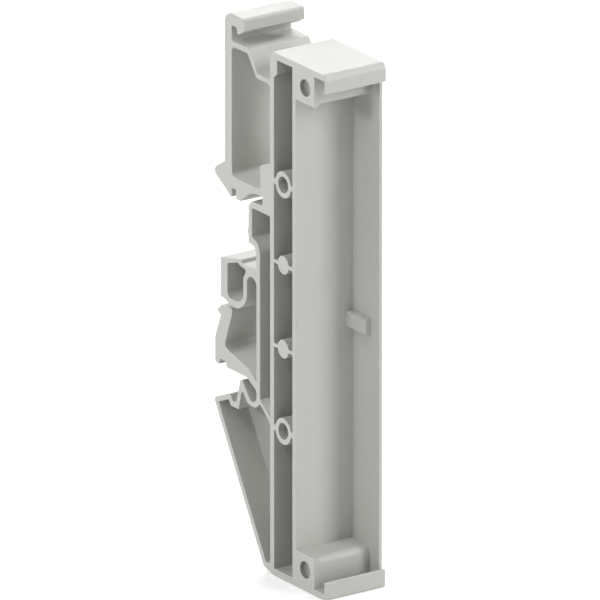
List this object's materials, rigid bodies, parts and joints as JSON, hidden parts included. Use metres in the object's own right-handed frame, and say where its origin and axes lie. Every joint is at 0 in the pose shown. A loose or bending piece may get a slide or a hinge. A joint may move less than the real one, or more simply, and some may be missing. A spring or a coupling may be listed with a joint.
{
  "type": "rail enclosure side element",
  "caption": "One-piece moulded side element of a rail-mounted electronics enclosure: shallow frame with board slots, sockets and posts, and a spring foot that snaps on a top-hat rail.",
  "frame": {"origin": "on the rail's face, midway between the rail's two edges, at the open side of the element", "axes": "+X out from the rail towards the lips, +Y along the rail towards the closed side, +Z across the rail towards the latch"},
  "size_m": [0.0305, 0.0113, 0.089],
  "materials": {
    "housing_plastic": "light grey moulded polyamide with a fine matte texture"
  },
  "bodies": {
    "root": {"side_element": "housing_plastic"}
  },
  "joints": []
}
